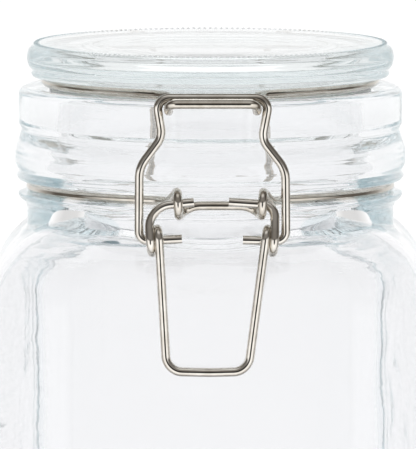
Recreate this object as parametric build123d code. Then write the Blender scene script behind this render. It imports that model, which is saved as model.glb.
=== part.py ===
from build123d import *
from math import asin, cos, pi, radians, sin, tan
import os

# A clip-top storage jar: a square glass jar with a round ribbed neck, a pressed glass lid on a
# clear seal, and a closure of four bent wires. Millimetres, +Z up, the clasp towards -Y, and the
# origin on the jar's axis at the level it stands on.

# Driving dimensions
HEIGHT = 150.0              # jar and lid together
BODY_HALF = 55.5            # half the width of the square body
BODY_CORNER = 24.0          # plan radius of the body's upright corners
SHOULDER_R = 22.6           # radius of the shoulder
SHOULDER_TOP = HEIGHT - 42.9
WALL = 3.3
FLOOR = 7.0                 # glass under the inside of the jar
PUSH_UP = 1.2               # depth of the hollow under the base
MOUTH_R = 38.5              # bore of the mouth
NECK_BORE_R = 41.3          # bore below the mouth, where the glass is blown out
BASE_ROUND = 6.0            # round along the foot of the body, outside
INNER_BASE_ROUND = 8.0
PUSH_UP_HALF, PUSH_UP_CORNER = BODY_HALF - 13.0, 16.0

WIRE = 2.3                  # diameter of all four wires
LOOP_R = 2.95               # mean radius of every coil and eye
LID_RING_R, LID_RING_Z = 41.5, HEIGHT - 9.85
NECK_RING_R, NECK_RING_Z = 45.3, HEIGHT - 36.3
GROOVE_R = WIRE / 2 + 0.08  # section radius of the two wire grooves
SEAL_TOP, SEAL_BOTTOM = HEIGHT - 11.15, HEIGHT - 12.5
SEAL_IN, SEAL_OUT = 37.5, 40.6

# Axes of the closure, as (y, z): the clasp at the front and the hinge at the back
LEVER_AXIS = (-52.5, NECK_RING_Z)
EYE_AXIS = (-52.6, HEIGHT - 45.5)
LINK_BAR = (-50.5, HEIGHT - 10.0)
HOOK_BAR = (-56.5, HEIGHT - 11.05)
HINGE_AXIS = (53.3, NECK_RING_Z)
HANDLE_BAR = (-57.95, HEIGHT - 77.7)

# Left and right places of the wires along X: they are bent by hand tools, not quite evenly
COIL_X = (-7.8, 12.7)       # front coils of the neck wire
REAR_COIL_X = 12.5
STUB_END_X = (-4.1, 4.6)    # cut ends of the lever, inside the front coils
ARM_X = (-15.1, 16.1)       # lever arms, outside the eyes
LEG_X = (-12.7, 13.7)       # lever legs, inside the eyes
HANDLE_X = (-10.9, 9.4)
PIN_END_X = (-7.1, 8.1)     # cut ends of the link, inside the eyes
LINK_FOOT_X = (-17.8, 18.8)
LINK_HIP = ((-17.7, HEIGHT - 27.3), (18.7, HEIGHT - 27.8))      # (x, z)
LINK_WAIST = ((-12.0, HEIGHT - 19.6), (12.8, HEIGHT - 20.3))
LINK_TOP_X = (-13.6, 14.8)
HOOK_X = (-10.4, 11.6)
HINGE_LEG_X, HINGE_END_X = 17.4, 7.2    # the lid wire's legs and cut ends, the same on both sides

TIGHTEST_BEND = 1.35        # no wire is bent tighter than this


# --- bent wire ------------------------------------------------------------------------------

def corner_radii(points, wanted):
    """The bend radius at each corner: the wanted one, or what its two runs leave room for."""
    radii = []
    for before, corner, after, limit in zip(points, points[1:], points[2:], wanted):
        run_in, run_out = Vector(corner) - Vector(before), Vector(after) - Vector(corner)
        half_turn = radians(run_in.get_angle(run_out)) / 2
        room = 0.48 * min(run_in.length, run_out.length) / tan(half_turn)
        radii.append(min(limit, room))
    return radii


def bent(points, wanted=60.0):
    """The edges of a wire's centreline through these corners, each one rounded."""
    if not isinstance(wanted, list):
        wanted = [wanted] * (len(points) - 2)
    radii = corner_radii(points, wanted)
    if min(radii) < TIGHTEST_BEND:
        print("tight bend", round(min(radii), 2), "at corner", radii.index(min(radii)) + 1)
    return FilletPolyline(*points, radius=radii).edges()


def ring_arc(radius, z, start, end):
    """An arc of a ring about the jar's axis, between two (x, y) points on the same side."""
    side = -1 if start[0] < 0 else 1
    return Edge.make_three_point_arc((*start, z), (side * radius, 0, z), (*end, z))


def drawn_wire(edges):
    """Round wire along a centreline."""
    path = Wire(edges)
    section = Plane(path @ 0, z_dir=path % 0) * Circle(WIRE / 2)
    solid = sweep(section, path=path)
    expected = pi * (WIRE / 2) ** 2 * path.length
    print("wire", round(path.length, 1), "mm long, volume ratio", round(solid.volume / expected, 4))
    return solid


def loop_corners(axis, front, x_from, x_to, start, turn, steps):
    """Corners of a helix about an X-parallel axis. Angles run from the top over to the front,
    which is -Y where front is -1; each side of the figure touches a circle of LOOP_R."""
    step = turn / steps
    reach = LOOP_R / cos(radians(step / 2))
    corners = []
    for i in range(steps):
        share = (i + 0.5) / steps
        angle = radians(start + turn * share)
        corners.append((x_from + (x_to - x_from) * share,
                        axis[0] + front * reach * sin(angle), axis[1] + reach * cos(angle)))
    return corners


# --- glass ----------------------------------------------------------------------------------

def rounded_block(half, corner, bottom, top, top_round, bottom_round):
    """A square block with round upright corners, rolled over at the top and the bottom."""
    block = extrude(Pos(0, 0, bottom) * RectangleRounded(2 * half, 2 * half, corner), top - bottom)
    block = fillet(block.faces().sort_by(Axis.Z)[-1].edges(), top_round)
    return fillet(block.faces().sort_by(Axis.Z)[0].edges(), bottom_round)


def below_top(radius, depth):
    """A point of a half section in the XZ plane, from its depth below the top of the lid."""
    return (radius, 0, HEIGHT - depth)


def turned(outline_edges):
    """A solid of revolution about the jar's axis, from edges in the XZ plane."""
    return revolve(make_face(outline_edges), axis=Axis.Z)


def groove_arc(radius, z, first_deg, last_deg):
    """The bottom of a wire groove: an arc about the wire's centre, seen in the XZ plane."""
    points = []
    for angle in (first_deg, (first_deg + last_deg) / 2, last_deg):
        points.append((radius + GROOVE_R * cos(radians(angle)), 0,
                       z + GROOVE_R * sin(radians(angle))))
    return points


def neck_outline():
    """Half the neck's section, from the shoulder up over the ribs and the rim to the seat."""
    root, seat_out, seat_r = 52, MOUTH_R + 2.8, MOUTH_R + 0.7
    into, bottom, out = groove_arc(NECK_RING_R, NECK_RING_Z, -90, -270)
    lower_lip = [below_top(46.2, root), below_top(46.2, 42.2), below_top(46.9, 40.2),
                 below_top(48.3, 39.0), below_top(48.5, 38.1), below_top(47.4, 37.7), into]
    upper_lip = [out, below_top(47.4, 34.75), below_top(48.5, 34.35)]
    ribs = [upper_lip[-1], below_top(48.85, 33.7), below_top(48.4, 32.5), below_top(49.1, 29.2),
            below_top(48.5, 25.2), below_top(47.7, 22.3), below_top(48.3, 20.3)]
    rim = [below_top(48.35, 14.6), below_top(47.35, 12.25), below_top(45.0, 11.25)]
    return (
        Polyline(*lower_lip).edges() + ThreePointArc(into, bottom, out).edges()
        + Polyline(*upper_lip).edges() + Spline(*ribs).edges()
        + Line(ribs[-1], rim[0]).edges() + ThreePointArc(*rim).edges()
        + Polyline(rim[-1], below_top(44.4, 11.25), (seat_out, 0, SEAL_BOTTOM),
                   (seat_r, 0, SEAL_BOTTOM), (0, 0, SEAL_BOTTOM), below_top(0, root),
                   lower_lip[0]).edges())


def make_glass_jar():
    """Square body, round ribbed neck with the wire groove, dished rim and blown-out inside."""
    body = rounded_block(BODY_HALF, BODY_CORNER, 0, SHOULDER_TOP, SHOULDER_R, BASE_ROUND)
    outside = body + turned(neck_outline())
    inside = rounded_block(BODY_HALF - WALL, BODY_CORNER - WALL, FLOOR, SHOULDER_TOP - WALL,
                           SHOULDER_R - WALL, INNER_BASE_ROUND)
    seat_edge = 0.7
    bore = turned(Polyline(
        below_top(0, 60), below_top(NECK_BORE_R, 60), below_top(NECK_BORE_R, 29),
        below_top(MOUTH_R, 24), (MOUTH_R, 0, SEAL_BOTTOM - seat_edge),
        (MOUTH_R + seat_edge, 0, SEAL_BOTTOM), (MOUTH_R + seat_edge, 0, SEAL_BOTTOM + 1),
        (0, 0, SEAL_BOTTOM + 1), below_top(0, 60)).edges())
    push_up = extrude(RectangleRounded(2 * PUSH_UP_HALF, 2 * PUSH_UP_HALF, PUSH_UP_CORNER), PUSH_UP)
    push_up = fillet(push_up.faces().sort_by(Axis.Z)[-1].edges(), 1.0)
    return outside - (inside + bore) - push_up


def make_glass_lid():
    """Pressed disc with a rolled edge, a groove for the ring, a plug and a hollow underside."""
    top, mid, bottom = groove_arc(LID_RING_R, LID_RING_Z, 90, 250)
    edge = [below_top(44.64, 0.6), below_top(46.15, 2.4), below_top(46.36, 3.9),
            below_top(46.0, 5.6), below_top(44.86, 7.2)]
    bead = [edge[-1], below_top(45.1, 7.7), below_top(45.1, 8.2), (44.7, 0, top[2]), top]
    plug = [bottom, (bottom[0], 0, SEAL_TOP), (37.2, 0, SEAL_TOP), below_top(37.2, 12.9),
            below_top(36.7, 13.4), below_top(32.4, 13.4)]
    hollow = [plug[-1], below_top(31.6, 12.6), below_top(30.6, 6.6), below_top(29.6, 5.1),
              below_top(27.6, 4.4), below_top(0, 4.2), below_top(0, 0)]
    return turned(
        Polyline(below_top(0, 0), below_top(43.9, 0), edge[0]).edges() + Spline(*edge).edges()
        + Polyline(*bead).edges() + ThreePointArc(top, mid, bottom).edges()
        + Polyline(*plug).edges() + Polyline(*hollow).edges())


def make_seal_gasket():
    """Flat clear ring, squeezed between the lid's foot and the rim's seat, round the plug."""
    middle = Pos((SEAL_IN + SEAL_OUT) / 2, 0, (SEAL_TOP + SEAL_BOTTOM) / 2)
    section = Plane.XZ * RectangleRounded(SEAL_OUT - SEAL_IN, SEAL_TOP - SEAL_BOTTOM, 0.35)
    return revolve(middle * section, axis=Axis.Z)


# --- closure wires --------------------------------------------------------------------------

def ring_exit(radius, x_leave, side, front, run, z):
    """Where a ring's arc ends, and a point further along its tangent there."""
    lean = asin(x_leave / radius)
    leave = (side * x_leave, front * radius * cos(lean))
    return leave, (leave[0] - side * run * cos(lean), leave[1] + front * run * sin(lean), z)


def neck_half(side):
    """Half the neck wire, from the middle of its front bar round to the middle of its back bar."""
    coil_front = COIL_X[0] if side < 0 else COIL_X[1]
    edges, leaves = [], []
    for front, axis, coil_x in ((-1, LEVER_AXIS, coil_front), (1, HINGE_AXIS, side * REAR_COIL_X)):
        leave, tangent_end = ring_exit(NECK_RING_R, abs(coil_x) + 8.6, side, front, 3.6, NECK_RING_Z)
        leaves.append(leave)
        bar_y = axis[0] - front * 2.98
        points = [
            (*leave, NECK_RING_Z), tangent_end,
            (coil_x + side * 2.5, axis[0] - front * 4.9, NECK_RING_Z + 0.1),
            *loop_corners(axis, front, coil_x + side * 0.6, coil_x - side * 0.1, -36, 252, 6),
            (coil_x - side * 1.4, bar_y, axis[1] - 1.9),
            (coil_x - side * 3.9, bar_y, axis[1] - 0.75),
            (0, bar_y + front * 0.02, axis[1] - 0.7)]
        edges.append(bent(points))
    return edges[0] + [ring_arc(NECK_RING_R, NECK_RING_Z, leaves[0], leaves[1])] + edges[1]


def make_neck_wire():
    """Closed ring in the neck's groove, with two coils in front and two at the back."""
    return drawn_wire(neck_half(-1)) + drawn_wire(neck_half(1))


def make_lid_wire():
    """Ring round the lid, bent into a hook in front and two hinge ends at the back."""
    halves = []
    for side, hook_x in ((-1, HOOK_X[0]), (1, HOOK_X[1])):
        front_leave, front_tangent = ring_exit(LID_RING_R, 27.0, side, -1, 18.3, LID_RING_Z)
        hook = bent([
            (0, *HOOK_BAR), (hook_x, *HOOK_BAR),
            (hook_x, LINK_BAR[0] - 2.3, HEIGHT - 13.1), (hook_x, LINK_BAR[0] + 1.6, HEIGHT - 13.2),
            (hook_x, LINK_BAR[0] + 3.5, LID_RING_Z), front_tangent,
            (*front_leave, LID_RING_Z)], [2.6, 3.2, 1.9, 1.9, 4.0])
        rear_leave, rear_tangent = ring_exit(LID_RING_R, 22.5, side, 1, 3.0, LID_RING_Z)
        hinge = bent([
            (*rear_leave, LID_RING_Z), rear_tangent,
            (side * HINGE_LEG_X, HINGE_AXIS[0] - 2.0, LID_RING_Z),
            (side * HINGE_LEG_X, *HINGE_AXIS), (side * HINGE_END_X, *HINGE_AXIS)],
            [6.0, 3.4, 2.3])
        ring = ring_arc(LID_RING_R, LID_RING_Z, front_leave, rear_leave)
        halves.append(drawn_wire(hook + [ring] + hinge))
    return halves[0] + halves[1]


def make_clamp_lever():
    """One wire: pivot stub, arm, eye, long leg, handle bar, and the same back up."""
    (y, z), eye_steps, eye_turn = LEVER_AXIS, 8, 360 + 13
    # Each stub climbs a little towards its cut end; the left arm comes off it in two bends
    stubs = [[(STUB_END_X[0], y, z + 0.45), (-12.3, y, z - 0.35), (ARM_X[0] - 0.2, y - 0.8, z - 3.9)],
             [(STUB_END_X[1], y, z + 0.5), (ARM_X[1], y, z - 0.25)]]
    stub_bends = [[6.0, 7.0], [3.4]]
    left, right = [
        stub + loop_corners(EYE_AXIS, -1, arm_x, leg_x, 73, eye_turn, eye_steps)
        + [(handle_x, *HANDLE_BAR)]
        for stub, arm_x, leg_x, handle_x in zip(stubs, ARM_X, LEG_X, HANDLE_X)]
    middle = [(0, HANDLE_BAR[0], HANDLE_BAR[1] - 0.25)]
    eye_bends = [LOOP_R] * eye_steps
    return drawn_wire(bent(
        left + middle + right[::-1],
        stub_bends[0] + eye_bends + [4.2, 60, 4.2] + eye_bends + stub_bends[1]))


def on_link(x, z):
    """A point of the plane that the link is bent in, which leans from the eyes to the top bar."""
    lean = (LINK_BAR[0] - EYE_AXIS[0]) / (LINK_BAR[1] - EYE_AXIS[1])
    return (x, EYE_AXIS[0] + lean * (z - EYE_AXIS[1]), z)


def make_clamp_link():
    """One wire: pin through a lever eye, leg, hip, waist, top bar, and the same back down."""
    pin_rises = (0.45, 0.2)
    left, right = [
        [on_link(pin_x, EYE_AXIS[1] + rise), on_link(foot_x, EYE_AXIS[1] - 0.1),
         on_link(*hip), on_link(*waist), on_link(top_x, LINK_BAR[1])]
        for pin_x, rise, foot_x, hip, waist, top_x in zip(
            PIN_END_X, pin_rises, LINK_FOOT_X, LINK_HIP, LINK_WAIST, LINK_TOP_X)]
    bends = [2.2, 7.5, 5.0, 2.8]
    return drawn_wire(bent(left + right[::-1], bends + bends[::-1]))


NODES = {
    "glass_jar": make_glass_jar,
    "glass_lid": make_glass_lid,
    "seal_gasket": make_seal_gasket,
    "lid_wire": make_lid_wire,
    "neck_wire": make_neck_wire,
    "clamp_lever": make_clamp_lever,
    "clamp_link": make_clamp_link,
}

os.makedirs("parts", exist_ok=True)
for node, make in NODES.items():
    shape = make()
    export_step(shape, f"parts/{node}.step")
    box = shape.bounding_box()
    print(node, "valid" if shape.is_valid else "NOT VALID", round(shape.volume, 1),
          [round(v, 2) for v in (*box.min, *box.max)])
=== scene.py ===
from math import asin, atan2, ceil, cos, degrees, hypot, pi, radians, sin, sqrt, tan

import bmesh
import bpy
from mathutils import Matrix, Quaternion, Vector


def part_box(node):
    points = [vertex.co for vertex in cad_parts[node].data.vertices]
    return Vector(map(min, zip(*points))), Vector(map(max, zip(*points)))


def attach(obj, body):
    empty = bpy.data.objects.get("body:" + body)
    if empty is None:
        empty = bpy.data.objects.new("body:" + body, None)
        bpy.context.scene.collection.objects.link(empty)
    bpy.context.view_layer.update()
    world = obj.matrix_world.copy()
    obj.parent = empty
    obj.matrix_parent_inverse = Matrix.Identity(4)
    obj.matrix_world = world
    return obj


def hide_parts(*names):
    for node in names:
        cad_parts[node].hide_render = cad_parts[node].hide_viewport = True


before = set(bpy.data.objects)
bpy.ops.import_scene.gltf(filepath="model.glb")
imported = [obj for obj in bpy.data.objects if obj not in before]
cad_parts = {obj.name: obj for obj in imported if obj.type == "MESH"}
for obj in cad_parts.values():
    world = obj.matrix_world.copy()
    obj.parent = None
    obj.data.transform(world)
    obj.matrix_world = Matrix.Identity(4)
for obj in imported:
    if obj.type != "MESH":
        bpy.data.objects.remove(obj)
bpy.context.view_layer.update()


# --- glass_jar ---------------------------------------------------------------------------------
# The jar itself: soda-lime glass blown into a square mould under a pressed ring of neck ribs.
# The outside is the mould's; the inside is free-blown, so it is softer and thick in the corners.
# Sizes here and below are millimetres in the frame's own axes, with depths below the lid's top.

MM = 0.001
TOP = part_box("glass_lid")[1][2] / MM
BODY_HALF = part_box("glass_jar")[1][0] / MM
BODY_CORNER = 24.0
SHOULDER_R = 22.6
SHOULDER_TOP = TOP - 42.9
WALL = 3.3
FLOOR = 7.0
PUSH_UP = 1.2
NECK_R = 46.2
THROAT_R = 41.3
MOUTH_R = 38.5
INNER_CORNER = 27.0        # the blown corners are rounder inside than the wall's thickness makes them
RING_WIRE = 2.3
NECK_RING_R, NECK_RING_DEPTH = 45.3, 36.3
GROOVE_R = RING_WIRE / 2 + 0.08
SEAL_DEPTH = 12.5          # the seat that the seal lies on
BASE_ROUND_HEIGHT = 20     # up to here the base's rounding draws the corners in
INNER_ROUND_HEIGHT = 40    # the same inside, where the blown floor is rounder
BASE_CORNER_SHARE = 0.38   # the least corner radius in the base, as a share of the section's radius
NECK_BLEND = 2.2           # how softly the square shoulder runs into the round neck
ARC_STEP = 7.0             # degrees between the points of a rounded corner
AROUND = 320               # steps round the jar


def rounded(corners, wanted):
    """Points along straight runs joined by tangent arcs; wanted is each inner corner's radius."""
    points = [Vector(corners[0])]
    for before, corner, after, limit in zip(corners, corners[1:], corners[2:], wanted):
        corner = Vector(corner)
        run_in, run_out = corner - Vector(before), Vector(after) - corner
        turn = run_in.angle(run_out)
        radius = min(limit, 0.48 * min(run_in.length, run_out.length) / tan(turn / 2))
        if radius == 0:
            points.append(corner)
            continue
        inward = (run_out.normalized() - run_in.normalized()).normalized()
        centre = corner + inward * radius / cos(turn / 2)
        start = corner - run_in.normalized() * radius * tan(turn / 2) - centre
        axis = run_in.cross(run_out).normalized()
        steps = max(2, ceil(degrees(turn) / ARC_STEP))
        points += [centre + Quaternion(axis, turn * i / steps) @ start for i in range(steps + 1)]
    return points + [Vector(corners[-1])]


def section(*corners):
    """A half section in the XZ plane from (radius, height, corner radius) triples."""
    return rounded([(r, 0, z) for r, z, _ in corners], [bend for _, _, bend in corners[1:-1]])


def turned(outline, steps):
    """A closed bmesh of revolution about Z; the outline's ends lie on the axis or meet."""
    bm = bmesh.new()
    verts = [bm.verts.new(p) for p in outline]
    edges = [bm.edges.new(pair) for pair in zip(verts, verts[1:])]
    bmesh.ops.spin(bm, geom=verts + edges, cent=(0, 0, 0), axis=(0, 0, 1), angle=2 * pi,
                   steps=steps, use_merge=True)
    bmesh.ops.remove_doubles(bm, verts=bm.verts, dist=1e-4)
    bmesh.ops.recalc_face_normals(bm, faces=bm.faces)
    return bm


def finished(bm, name, sharp=None):
    """A smooth-shaded object at the origin, in metres, from a bmesh in millimetres."""
    bmesh.ops.scale(bm, vec=(MM, MM, MM), verts=bm.verts)
    mesh = bpy.data.meshes.new(name)
    bm.to_mesh(mesh)
    bm.free()
    mesh.shade_smooth()
    if sharp:
        mesh.set_sharp_from_angle(angle=radians(sharp))
    piece = bpy.data.objects.new(name, mesh)
    bpy.context.collection.objects.link(piece)
    return piece


def square_radius(angle, half, corner):
    """Distance from the axis to a round-cornered square, in one direction."""
    angle = abs((angle + pi / 4) % (pi / 2) - pi / 4)
    middle = half - corner
    if half * tan(angle) <= middle:
        return half / cos(angle)
    reach = cos(angle) + sin(angle)
    return middle * reach + sqrt(max(corner ** 2 - middle ** 2 * (2 - reach ** 2), 0))


def soft_max(a, b, blend):
    """The larger of two lengths, rounded over where they are within blend of each other."""
    near = max(blend - abs(a - b), 0) / blend
    return max(a, b) + near * near * blend / 4


def squared(verts, half, corner, least, neck_r):
    """Push the round body out to the mould's square, and keep it outside the neck."""
    for v in verts:
        r = hypot(v.co.x, v.co.y)
        if r < 1e-3:
            continue
        inset_corner = max(corner - (half - r), least * r, 1.0)
        target = square_radius(atan2(v.co.y, v.co.x), r, min(inset_corner, r))
        if neck_r:
            target = soft_max(target, neck_r, NECK_BLEND)
        v.co.x *= target / r
        v.co.y *= target / r


def arc(centre_r, centre_z, radius, first, last, steps):
    """Points of an arc in the XZ plane; 0 degrees points out along X and 90 up."""
    angles = [radians(first + (last - first) * i / steps) for i in range(steps + 1)]
    return [Vector((centre_r + radius * cos(a), 0, centre_z + radius * sin(a))) for a in angles]


shoulder_centre = (BODY_HALF - SHOULDER_R, SHOULDER_TOP - SHOULDER_R)
neck_ring_z = TOP - NECK_RING_DEPTH

outside_body = section(
    (0, PUSH_UP, 0), (BODY_HALF - 13.0, PUSH_UP, 0.9), (BODY_HALF - 12.2, 0, 0.7),
    (BODY_HALF, 0, 6.0), (BODY_HALF, BASE_ROUND_HEIGHT, 0))
side_rise = (shoulder_centre[1] - BASE_ROUND_HEIGHT) / 6
outside_body += [Vector((BODY_HALF, 0, BASE_ROUND_HEIGHT + side_rise * i)) for i in range(1, 6)]
outside_shoulder = arc(*shoulder_centre, SHOULDER_R, 0, 90, 34)
outside_neck = section(
    (NECK_R, SHOULDER_TOP + 0.15, 0), (NECK_R, TOP - 41.7, 1.5), (46.9, TOP - 40.2, 1.6),
    (48.3, TOP - 39.0, 1.2), (48.5, TOP - 38.0, 0.35), (47.4, TOP - 37.65, 0.3),
    (NECK_RING_R, neck_ring_z - GROOVE_R, 0))
neck_groove = arc(NECK_RING_R, neck_ring_z, GROOVE_R, -92, -268, 10)
ribs = section(
    (NECK_RING_R, neck_ring_z + GROOVE_R, 0), (47.5, TOP - 34.8, 0.3), (48.45, TOP - 34.4, 0.4),
    (48.95, TOP - 33.6, 0.7), (48.15, TOP - 32.5, 1.2), (49.25, TOP - 30.6, 3.0),
    (49.15, TOP - 26.6, 4.5), (47.55, TOP - 22.0, 1.5), (48.35, TOP - 20.4, 0.9),
    (48.35, TOP - 11.25, 3.4), (44.35, TOP - 11.25, 0.7), (MOUTH_R + 2.7, TOP - SEAL_DEPTH, 0.4),
    (MOUTH_R, TOP - SEAL_DEPTH, 0.75), (MOUTH_R, TOP - 24, 6), (THROAT_R, TOP - 29, 8),
    (THROAT_R, SHOULDER_TOP - WALL + 0.2, 0))
inside_shoulder = arc(*shoulder_centre, SHOULDER_R - WALL, 90, 0, 30)
inside_body = [Vector((BODY_HALF - WALL, 0, shoulder_centre[1] - 11 * i)) for i in range(1, 6)]
inside_body += section((BODY_HALF - WALL, 22, 0), (BODY_HALF - WALL, FLOOR, 8.0), (0, FLOOR + 0.6, 0))

jar_bm = turned(outside_body + outside_shoulder + outside_neck + neck_groove[1:-1] + ribs
                + inside_shoulder + inside_body, AROUND)
below_neck = [v for v in jar_bm.verts if v.co.z <= SHOULDER_TOP + 0.01]


def is_inside(v):
    """True on the blown surface: within the wall's thickness of the outside at that height."""
    r, z = hypot(v.co.x, v.co.y), v.co.z
    rise = max(z - shoulder_centre[1], 0)
    outer = shoulder_centre[0] + sqrt(max(SHOULDER_R ** 2 - rise ** 2, 0))
    return FLOOR - 0.1 < z < SHOULDER_TOP - WALL + 0.3 and r < outer - WALL / 2


blown = [v for v in below_neck if is_inside(v)]
blown_set = set(blown)
moulded = [v for v in below_neck if v not in blown_set]
for skin, half, corner, round_height, neck_r in (
        (moulded, BODY_HALF, BODY_CORNER, BASE_ROUND_HEIGHT, NECK_R),
        (blown, BODY_HALF - WALL, INNER_CORNER, INNER_ROUND_HEIGHT, THROAT_R)):
    squared([v for v in skin if v.co.z > round_height], half, corner, 0, neck_r)
    squared([v for v in skin if v.co.z <= round_height], half, corner, BASE_CORNER_SHARE, 0)
glass_jar = finished(jar_bm, "jar_glass_body")


def linear(colour):
    """An sRGB hex colour as the linear RGBA that a shader takes."""
    parts = [int(colour[i:i + 2], 16) / 255 for i in (1, 3, 5)]
    return (*[p / 12.92 if p <= 0.04045 else ((p + 0.055) / 1.055) ** 2.4 for p in parts], 1)


def node(tree, kind, settings=None, links=None):
    """Add a node; settings go to its attributes or inputs, and links join its inputs."""
    made = tree.nodes.new(kind)
    for key, value in (settings or {}).items():
        if isinstance(key, str) and hasattr(made, key):
            setattr(made, key, value)
        else:
            made.inputs[key].default_value = value
    for key, socket in (links or {}).items():
        tree.links.new(socket, made.inputs[key])
    return made


def new_material(name):
    """A material with an empty node tree."""
    material = bpy.data.materials.new(name)
    material.use_nodes = True
    material.node_tree.nodes.clear()
    return material, material.node_tree


def soda_lime_glass(name, wave_mm, wave_height_mm, ripple_height_mm, colour, tint, tint_per_m):
    """Clear glass whose waves and level ripples bend what is behind it; thick parts go aqua."""
    material, tree = new_material(name)
    place = node(tree, "ShaderNodeTexCoord").outputs["Object"]
    waves = node(tree, "ShaderNodeTexNoise",
                 {"Scale": 1 / (wave_mm * MM), "Detail": 1.5, "Roughness": 0.4}, {"Vector": place})
    wave_bump = node(tree, "ShaderNodeBump", {"Strength": 1.0, "Distance": wave_height_mm * MM},
                     {"Height": waves.outputs["Fac"]})
    # Ripples from the mould: about 16 mm long round the jar and 2.2 mm high
    ripple_place = node(tree, "ShaderNodeMapping",
                        {"Scale": (1 / (16 * MM), 1 / (16 * MM), 1 / (2.2 * MM))}, {"Vector": place})
    ripples = node(tree, "ShaderNodeTexNoise", {"Scale": 1.0, "Detail": 2.0, "Roughness": 0.45},
                   {"Vector": ripple_place.outputs["Vector"]})
    bump = node(tree, "ShaderNodeBump", {"Strength": 1.0, "Distance": ripple_height_mm * MM},
                {"Height": ripples.outputs["Fac"], "Normal": wave_bump.outputs["Normal"]})
    glass = node(tree, "ShaderNodeBsdfPrincipled", {
        "Base Color": linear(colour), "Roughness": 0.0, "IOR": 1.52,
        "Transmission Weight": 1.0}, {"Normal": bump.outputs["Normal"]})
    depth_tint = node(tree, "ShaderNodeVolumeAbsorption",
                      {"Color": linear(tint), "Density": tint_per_m})
    node(tree, "ShaderNodeOutputMaterial", links={
        "Surface": glass.outputs["BSDF"], "Volume": depth_tint.outputs["Volume"]})
    return material


# Blown soda-lime glass: waves about 18 mm long and a few hundredths deep, faint aqua in depth.
glass_jar.data.materials.append(
    soda_lime_glass("soda_lime_glass_blown", 18, 0.13, 0.045, "#f5f5f6", "#cbe2e7", 3.5))
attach(glass_jar, "jar")
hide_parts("glass_jar")


# --- neck_wire ---------------------------------------------------------------------------------
# A ring of drawn steel wire in the neck's groove. Two coils in front hold the lever's ends and
# two behind hold the lid's. Bright nickel plate over drawing marks that run along the wire.

LOOP_R = 2.95
LEVER_AXIS = (-52.5, neck_ring_z)
HINGE_AXIS = (53.3, neck_ring_z)
COIL_X = (-7.8, 12.7)
REAR_COIL_X = 12.5
WIRE_SIDES = 7             # bevel resolution: 32 faces round the wire


def loop_corners(axis, front, x_from, x_to, start, turn, steps):
    """Corners of a helix about an X-parallel axis, from the top over to the front."""
    reach = LOOP_R / cos(radians(turn / steps / 2))
    corners = []
    for share in [(i + 0.5) / steps for i in range(steps)]:
        angle = radians(start + turn * share)
        corners.append((x_from + (x_to - x_from) * share,
                        axis[0] + front * reach * sin(angle), axis[1] + reach * cos(angle)))
    return corners


def ring_exit(radius, x_leave, side, front, run, z):
    """Where a wire leaves its ring, and a point further along its tangent there."""
    lean = asin(x_leave / radius)
    leave = Vector((side * x_leave, front * radius * cos(lean), z))
    return leave, leave + Vector((-side * run * cos(lean), front * run * sin(lean), 0))


def ring_between(start, end):
    """Points of a ring about the jar's axis, from start round the near side to end."""
    first, last = atan2(start.y, start.x), atan2(end.y, end.x)
    if abs(last - first) > pi:
        last += 2 * pi if last < first else -2 * pi
    radius, steps = hypot(start.x, start.y), 48
    angles = [first + (last - first) * i / steps for i in range(1, steps)]
    return [Vector((radius * cos(a), radius * sin(a), start.z)) for a in angles]


def drawn_wire(points, name, closed=False):
    """Round wire along a centreline, with its cut ends just broken at the edge."""
    route = bpy.data.curves.new(name, "CURVE")
    route.dimensions = "3D"
    route.bevel_depth = RING_WIRE / 2
    route.bevel_resolution = WIRE_SIDES
    route.use_fill_caps = not closed
    line = route.splines.new("POLY")
    line.points.add(len(points) - 1)
    for place, p in zip(line.points, points):
        place.co = (*p, 1)
    line.use_cyclic_u = closed
    holder = bpy.data.objects.new(name + "_route", route)
    bm = bmesh.new()
    bm.from_mesh(bpy.data.meshes.new_from_object(holder))
    bpy.data.objects.remove(holder)
    bpy.data.curves.remove(route)
    bmesh.ops.remove_doubles(bm, verts=bm.verts, dist=1e-4)
    bmesh.ops.recalc_face_normals(bm, faces=bm.faces)
    ends = [f for f in bm.faces if len(f.verts) > 4]
    rims = {e for f in ends for e in f.edges}
    if rims:
        bmesh.ops.bevel(bm, geom=list(rims), offset=0.14, segments=2, profile=0.5,
                        affect="EDGES", material=-1)
    return finished(bm, name, sharp=40)


def apart(points, gap=1e-3):
    """The points without any that repeat the one before."""
    kept = [points[0]]
    for p in points[1:]:
        if (p - kept[-1]).length > gap:
            kept.append(p)
    return kept


def neck_half(side):
    """Half the neck wire, from the middle of its front bar to the middle of its back bar."""
    halves = []
    front_x = COIL_X[0] if side < 0 else COIL_X[1]
    for front, axis, coil_x in ((-1, LEVER_AXIS, front_x), (1, HINGE_AXIS, side * REAR_COIL_X)):
        leave, tangent_end = ring_exit(NECK_RING_R, abs(coil_x) + 8.6, side, front, 3.6, neck_ring_z)
        bar_y = axis[0] - front * 2.98
        corners = [
            leave, tangent_end,
            (coil_x + side * 2.5, axis[0] - front * 4.9, neck_ring_z + 0.1),
            *loop_corners(axis, front, coil_x + side * 0.6, coil_x - side * 0.1, -36, 252, 6),
            (coil_x - side * 1.4, bar_y, axis[1] - 1.9),
            (coil_x - side * 3.9, bar_y, axis[1] - 0.75),
            (0, bar_y + front * 0.02, axis[1] - 0.7)]
        halves.append(rounded(corners, [60.0] * (len(corners) - 2)))
    front_part, rear_part = halves
    return front_part[::-1] + ring_between(front_part[0], rear_part[0]) + rear_part


left, right = neck_half(-1), neck_half(1)
neck_wire = drawn_wire(apart(left + right[::-1])[:-1], "neck_ring_wire", closed=True)


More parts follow.
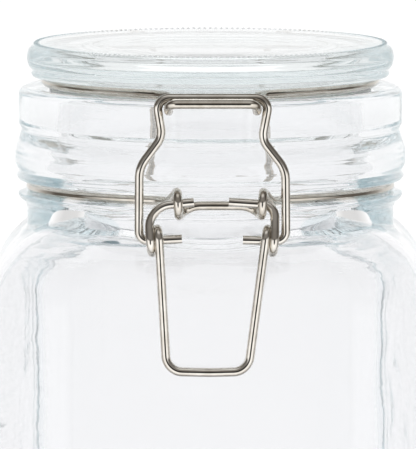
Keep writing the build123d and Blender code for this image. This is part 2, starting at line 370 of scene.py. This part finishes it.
def bright_nickel(name, colour, shade, roughness):
    """Nickel plate: a warm white metal, a little rougher and darker in soft patches."""
    material, tree = new_material(name)
    place = node(tree, "ShaderNodeTexCoord").outputs["Object"]
    # Handling marks a few millimetres across
    marks = node(tree, "ShaderNodeTexNoise",
                 {"Scale": 1 / (3.5 * MM), "Detail": 4, "Roughness": 0.6}, {"Vector": place})
    gloss = node(tree, "ShaderNodeMapRange", {"To Min": roughness * 0.7, "To Max": roughness * 1.5},
                 {"Value": marks.outputs["Fac"]})
    tone = node(tree, "ShaderNodeValToRGB", links={"Fac": marks.outputs["Fac"]})
    tone.color_ramp.elements[0].position, tone.color_ramp.elements[1].position = 0.35, 0.65
    tone.color_ramp.elements[0].color = linear(shade)
    tone.color_ramp.elements[1].color = linear(colour)
    # Drawing marks and pits under the plate are about 0.05 mm; drawn at 0.25 mm so that they show
    pits = node(tree, "ShaderNodeTexNoise", {"Scale": 1 / (0.25 * MM), "Detail": 2}, {"Vector": place})
    bump = node(tree, "ShaderNodeBump", {"Strength": 0.35, "Distance": 0.012 * MM},
                {"Height": pits.outputs["Fac"]})
    metal = node(tree, "ShaderNodeBsdfPrincipled", {"Metallic": 1.0}, {
        "Base Color": tone.outputs["Color"], "Roughness": gloss.outputs["Result"],
        "Normal": bump.outputs["Normal"]})
    node(tree, "ShaderNodeOutputMaterial", links={"Surface": metal.outputs["BSDF"]})
    return material


# Bright nickel on drawn wire: warm white, with soft but still clear reflections. Its colours are a
# shade darker than the clasp's: painted shade for the grooves that the ring wires lie in.
ring_nickel_painted_shade = bright_nickel("nickel_plated_wire_drawn_painted_shade", "#d2cdc5", "#beb7ac", 0.06)
neck_wire.data.materials.append(ring_nickel_painted_shade)
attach(neck_wire, "jar")
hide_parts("neck_wire")


# --- glass_lid ---------------------------------------------------------------------------------
# A thick pressed disc. Its top edge carries a ring of stipple dots that the press leaves, its
# side a rolled bead over the wire's groove, and its underside a plug round a shallow hollow.

LID_RING_R, LID_RING_DEPTH = 41.5, 9.85
FOOT_DEPTH = 11.15         # the foot that presses on the seal
DOTS = 196
STEPS_PER_DOT = 5
DOT_RING_R = 44.0
DOT_REACH = 0.75           # half the width of a dot, along the radius
DOT_HEIGHT = 0.22

lid_ring_z = TOP - LID_RING_DEPTH
face = TOP - DOT_HEIGHT
lid_top = [Vector((0, 0, face)), Vector((20, 0, face)), Vector((35, 0, face))]
lid_top += [Vector((42.95 + 0.2 * i, 0, face - 0.015 * i)) for i in range(9)]
lid_side = section(
    (44.7, TOP - 0.72, 0), (45.9, TOP - 1.8, 1.6), (46.4, TOP - 3.9, 3.5), (45.95, TOP - 5.9, 2.0),
    (44.75, TOP - 7.25, 0.6), (45.15, TOP - 7.75, 0.3), (45.1, TOP - 8.35, 0.35),
    (44.3, lid_ring_z + GROOVE_R, 0.3), (LID_RING_R, lid_ring_z + GROOVE_R, 0))
lid_groove = arc(LID_RING_R, lid_ring_z, GROOVE_R, 90, 250, 9)
lid_under = section(
    (lid_groove[-1].x, lid_groove[-1].z, 0), (lid_groove[-1].x, TOP - FOOT_DEPTH, 0.1),
    (37.2, TOP - FOOT_DEPTH, 0.4), (37.2, TOP - 13.4, 0.6), (32.2, TOP - 13.4, 0.9),
    (30.9, TOP - 5.0, 2.4), (28, TOP - 4.35, 1.5), (0, TOP - 4.2, 0))
lid_bm = turned(lid_top + lid_side + lid_groove[1:-1] + lid_under, DOTS * STEPS_PER_DOT)
for v in lid_bm.verts:
    off_ring = (hypot(v.co.x, v.co.y) - DOT_RING_R) / DOT_REACH
    if v.co.z > TOP - 0.7 and abs(off_ring) < 1:
        round_ring = cos(DOTS * atan2(v.co.y, v.co.x)) * 0.5 + 0.5
        v.co.z += DOT_HEIGHT * round_ring * (1 - off_ring ** 2)
glass_lid = finished(lid_bm, "lid_pressed_disc")

# Pressed soda-lime glass: flatter than blown, thick enough to show its aqua along the edge.
glass_lid.data.materials.append(
    soda_lime_glass("soda_lime_glass_pressed", 26, 0.06, 0.03, "#e8eaea", "#cbe2e7", 3.5))
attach(glass_lid, "lid")
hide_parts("glass_lid")


# --- seal_gasket -------------------------------------------------------------------------------
# A flat ring of clear moulded elastomer, stretched round the lid's plug and squeezed between the
# lid's foot and the jar's seat. It lets light through but blurs it.

SEAL_IN, SEAL_OUT = 37.5, 40.6
SEAL_CLEAR = 0.04          # a film of air, since two clear faces in one plane would look black
seal_high, seal_low = TOP - FOOT_DEPTH - SEAL_CLEAR, TOP - SEAL_DEPTH + SEAL_CLEAR
middle_z = (seal_high + seal_low) / 2
seal_bm = turned(section(
    (SEAL_IN, middle_z, 0), (SEAL_IN, seal_high, 0.35), (SEAL_OUT, seal_high, 0.35),
    (SEAL_OUT, seal_low, 0.35), (SEAL_IN, seal_low, 0.35), (SEAL_IN, middle_z, 0)), AROUND)
seal_gasket = finished(seal_bm, "clear_seal_ring")

# Clear moulded elastomer: softer and hazier than the glass, with a faint bloom on its skin.
seal_material, tree = new_material("clear_elastomer_moulded")
place = node(tree, "ShaderNodeTexCoord").outputs["Object"]
bloom = node(tree, "ShaderNodeTexNoise", {"Scale": 1 / (2.5 * MM), "Detail": 3}, {"Vector": place})
haze = node(tree, "ShaderNodeMapRange", {"To Min": 0.22, "To Max": 0.38},
            {"Value": bloom.outputs["Fac"]})
skin = node(tree, "ShaderNodeBump", {"Strength": 0.4, "Distance": 0.03 * MM},
            {"Height": bloom.outputs["Fac"]})
elastomer = node(tree, "ShaderNodeBsdfPrincipled", {
    "Base Color": linear("#eef1ee"), "IOR": 1.42, "Transmission Weight": 0.85},
    {"Roughness": haze.outputs["Result"], "Normal": skin.outputs["Normal"]})
node(tree, "ShaderNodeOutputMaterial", links={"Surface": elastomer.outputs["BSDF"]})
seal_gasket.data.materials.append(seal_material)
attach(seal_gasket, "lid")
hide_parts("seal_gasket")


# --- lid_wire ----------------------------------------------------------------------------------
# One wire round the lid. In front it comes out over the rim and drops into a hook for the link's
# bar; behind, its two ends go down as legs and turn in through the neck wire's rear coils.

LINK_BAR = (-50.5, TOP - 10.0)
HOOK_BAR = (-56.5, TOP - 11.05)
HOOK_X = (-10.4, 11.6)
LEG_X = 17.4


def lid_half(side, hook_x):
    """Half the lid wire, from the middle of the hook's bar round to a hinge end."""
    leave, tangent_end = ring_exit(LID_RING_R, 27.0, side, -1, 18.3, lid_ring_z)
    hook = rounded([
        (0, *HOOK_BAR), (hook_x, *HOOK_BAR), (hook_x, LINK_BAR[0] - 2.3, TOP - 13.1),
        (hook_x, LINK_BAR[0] + 1.6, TOP - 13.2), (hook_x, LINK_BAR[0] + 3.5, lid_ring_z),
        tangent_end, leave], [2.6, 3.2, 1.9, 1.9, 4.0])
    rear_leave, rear_tangent = ring_exit(LID_RING_R, 22.5, side, 1, 3.0, lid_ring_z)
    hinge = rounded([
        rear_leave, rear_tangent, (side * LEG_X, HINGE_AXIS[0] - 2.0, lid_ring_z),
        (side * LEG_X, *HINGE_AXIS), (side * 7.2, *HINGE_AXIS)], [6.0, 3.4, 2.3])
    return hook + ring_between(hook[-1], hinge[0]) + hinge


lid_wire = drawn_wire(apart(lid_half(-1, HOOK_X[0])[::-1] + lid_half(1, HOOK_X[1])),
                      "lid_ring_wire")
# The ring wires' nickel, whose darker colours are painted shade for the lid's groove.
lid_wire.data.materials.append(ring_nickel_painted_shade)
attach(lid_wire, "lid")
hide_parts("lid_wire")


# --- clamp_lever -------------------------------------------------------------------------------
# The handle: one wire that starts inside a front coil, bends down into an arm, turns once round
# the link's pin as an eye, and runs down and across as a tapered loop before it climbs back.

EYE_AXIS = (-52.6, TOP - 45.5)
HANDLE_BAR = (-57.95, TOP - 77.7)
STUB_END_X = (-4.1, 4.6)
ARM_X = (-15.1, 16.1)
EYE_LEG_X = (-12.7, 13.7)
HANDLE_X = (-10.9, 9.4)
EYE_STEPS, EYE_TURN = 8, 360 + 13

pivot_y, pivot_z = LEVER_AXIS
stubs = [[(STUB_END_X[0], pivot_y, pivot_z + 0.45), (-12.3, pivot_y, pivot_z - 0.35),
          (ARM_X[0] - 0.2, pivot_y - 0.8, pivot_z - 3.9)],
         [(STUB_END_X[1], pivot_y, pivot_z + 0.5), (ARM_X[1], pivot_y, pivot_z - 0.25)]]
stub_bends = [[6.0, 7.0], [3.4]]
left, right = [
    stub + loop_corners(EYE_AXIS, -1, arm_x, leg_x, 73, EYE_TURN, EYE_STEPS)
    + [(handle_x, *HANDLE_BAR)]
    for stub, arm_x, leg_x, handle_x in zip(stubs, ARM_X, EYE_LEG_X, HANDLE_X)]
eye_bends = [LOOP_R] * EYE_STEPS
lever_route = rounded(
    left + [(0, HANDLE_BAR[0], HANDLE_BAR[1] - 0.25)] + right[::-1],
    stub_bends[0] + eye_bends + [4.2, 60, 4.2] + eye_bends + stub_bends[1])
clamp_lever = drawn_wire(apart(lever_route), "clasp_lever_wire")

# The same plate, a little smoother where the clasp is handled; its colours are brighter than the ring
# wires' copy, which carries painted shade.
clasp_nickel = bright_nickel("nickel_plated_wire_polished", "#dad6cf", "#c9c3ba", 0.05)
clamp_lever.data.materials.append(clasp_nickel)
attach(clamp_lever, "lever")
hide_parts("clamp_lever")


# --- clamp_link --------------------------------------------------------------------------------
# The pulling loop: pin through a lever eye, straight leg, hip, and a top bar that sits in the
# lid wire's hook. Its two cut ends show inside the eyes.

PIN_END_X, PIN_RISE = (-7.1, 8.1), (0.45, 0.2)
LINK_FOOT_X = (-17.8, 18.8)
LINK_HIP = ((-17.7, TOP - 27.3), (18.7, TOP - 27.8))
LINK_WAIST = ((-12.0, TOP - 19.6), (12.8, TOP - 20.3))
LINK_TOP_X = (-13.6, 14.8)
link_lean = (LINK_BAR[0] - EYE_AXIS[0]) / (LINK_BAR[1] - EYE_AXIS[1])


def on_link(x, z):
    """A point of the link's own leaning plane."""
    return (x, EYE_AXIS[0] + link_lean * (z - EYE_AXIS[1]), z)


left, right = [
    [on_link(pin_x, EYE_AXIS[1] + rise), on_link(foot_x, EYE_AXIS[1] - 0.1),
     on_link(*hip), on_link(*waist), on_link(top_x, LINK_BAR[1])]
    for pin_x, rise, foot_x, hip, waist, top_x in zip(
        PIN_END_X, PIN_RISE, LINK_FOOT_X, LINK_HIP, LINK_WAIST, LINK_TOP_X)]
link_bends = [2.2, 7.5, 5.0, 2.8]
clamp_link = drawn_wire(apart(rounded(left + right[::-1], link_bends + link_bends[::-1])),
                        "clasp_link_wire")
clamp_link.data.materials.append(clasp_nickel)
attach(clamp_link, "link")
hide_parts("clamp_link")


# --- studio ------------------------------------------------------------------------------------
# A plain white floor under even soft light. Metal sees a second studio: dark where the camera
# stands, bright round it below the ceiling, dark at the sides and bright again far behind.

FLOOR_RADIUS = 30000
floor_bm = bmesh.new()
bmesh.ops.create_circle(floor_bm, cap_ends=True, segments=96, radius=FLOOR_RADIUS)
floor = finished(floor_bm, "floor")
floor_material, tree = new_material("matt_white_board")
place = node(tree, "ShaderNodeTexCoord").outputs["Object"]
board = node(tree, "ShaderNodeTexNoise", {"Scale": 1 / (60 * MM), "Detail": 2}, {"Vector": place})
board_tone = node(tree, "ShaderNodeMapRange", {"To Min": 0.91, "To Max": 0.93},
                  {"Value": board.outputs["Fac"]})
board_shader = node(tree, "ShaderNodeBsdfPrincipled", {"Roughness": 0.8, "Specular IOR Level": 0.0},
                    {"Base Color": board_tone.outputs["Result"]})
node(tree, "ShaderNodeOutputMaterial", links={"Surface": board_shader.outputs["BSDF"]})
floor.data.materials.append(floor_material)
floor.visible_glossy = False

scene = bpy.context.scene
scene.view_settings.view_transform = "Standard"
# Light that is caught in the ribs and the rim needs many bounces to get out again
scene.cycles.max_bounces = 128
scene.cycles.glossy_bounces = 96
scene.cycles.transmission_bounces = 128

world = bpy.data.worlds.new("studio")
scene.world = world
world.use_nodes = True
sky_tree = world.node_tree
sky_tree.nodes.clear()
way = node(sky_tree, "ShaderNodeTexCoord").outputs["Generated"]
way_parts = node(sky_tree, "ShaderNodeSeparateXYZ", links={"Vector": way})


def ramp_along(axis, stops):
    """A colour ramp over one part of the direction; stops are (part from -1 to 1, grey, warmth)."""
    part = node(sky_tree, "ShaderNodeMapRange", {"From Min": -1.0, "From Max": 1.0},
                {"Value": way_parts.outputs[axis]})
    ramp = node(sky_tree, "ShaderNodeValToRGB", links={"Fac": part.outputs["Result"]})
    elements = ramp.color_ramp.elements
    while len(elements) < len(stops):
        elements.new(0.5)
    for element, (part_of_way, grey, warmth) in zip(elements, stops):
        element.position = (part_of_way + 1) / 2
        element.color = (grey * (1 + warmth), grey, grey * (1 - warmth), 1)
    return ramp.outputs["Color"]


even = ramp_along("Z", [(-1, 1.0, 0), (0, 1.0, 0), (1, 1.06, 0)])
round_studio = ramp_along("Y", [(-1, 0.04, 0.05), (-0.97, 0.06, 0.05), (-0.90, 1.55, 0.0),
                                (-0.35, 1.05, 0.0), (0.00, 0.18, 0.10), (0.40, 0.13, 0.10),
                                (0.62, 0.45, 0.03), (0.80, 0.90, 0.0)])
# On the camera's side the room is dark from just above the horizon, and bright straight overhead
front_ceiling = ramp_along("Z", [(-1, 1.0, 0), (0.14, 1.0, 0), (0.28, 0.16, 0.05),
                                 (0.75, 0.22, 0.05), (0.95, 1.0, 0)])
in_front = node(sky_tree, "ShaderNodeMath", {"operation": "LESS_THAN", 1: 0.1},
                {0: way_parts.outputs["Y"]})
wire_studio = node(sky_tree, "ShaderNodeMix", {"data_type": "RGBA", "blend_type": "MULTIPLY"},
                   {0: in_front.outputs[0], 6: round_studio, 7: front_ceiling}).outputs[2]
light_path = node(sky_tree, "ShaderNodeLightPath")
before_glass = node(sky_tree, "ShaderNodeMath", {"operation": "LESS_THAN", 1: 0.5},
                     {0: light_path.outputs["Transmission Depth"]})
first_glossy = node(sky_tree, "ShaderNodeMath", {"operation": "MULTIPLY"},
                    {0: light_path.outputs["Is Glossy Ray"], 1: before_glass.outputs[0]})
# The glass is perfectly smooth, so its own reflections are singular; they see less of the contrast
glass_share = node(sky_tree, "ShaderNodeMath", {"operation": "MULTIPLY_ADD", 1: -0.6, 2: 1.0},
                   {0: light_path.outputs["Is Singular Ray"]})
contrast_share = node(sky_tree, "ShaderNodeMath", {"operation": "MULTIPLY"},
                     {0: first_glossy.outputs[0], 1: glass_share.outputs[0]})
sky_tone = node(sky_tree, "ShaderNodeMix", {"data_type": "RGBA"},
                {0: contrast_share.outputs[0], 6: even, 7: wire_studio})
sky = node(sky_tree, "ShaderNodeBackground", {"Strength": 1.08}, {"Color": sky_tone.outputs[2]})
node(sky_tree, "ShaderNodeOutputWorld", links={"Surface": sky.outputs["Background"]})

softbox = bpy.data.lights.new("top_softbox", "AREA")
softbox.shape, softbox.size, softbox.size_y = "RECTANGLE", 1.6, 1.6
softbox.energy = 3.0
lamp = bpy.data.objects.new("top_softbox", softbox)
lamp.location = (0, 0.1, 1.5)
lamp.visible_camera = lamp.visible_glossy = False
bpy.context.collection.objects.link(lamp)

CAMERA_AWAY = 4.2
CAMERA_RISE = radians(5.4)
FRAME_TALL = 0.1133        # what the frame's long side spans at the jar's axis
look_at = Vector((-0.0006, 0, TOP * MM - 0.0464))
camera_data = bpy.data.cameras.new("camera")
camera_data.sensor_width = 36
camera_data.lens = camera_data.sensor_width * CAMERA_AWAY / FRAME_TALL
camera_data.clip_start, camera_data.clip_end = 0.1, 80
camera = bpy.data.objects.new("camera", camera_data)
back = Vector((0, -cos(CAMERA_RISE), sin(CAMERA_RISE)))
camera.location = look_at + back * CAMERA_AWAY
camera.rotation_euler = (-back).to_track_quat("-Z", "Y").to_euler()
bpy.context.collection.objects.link(camera)
scene.camera = camera
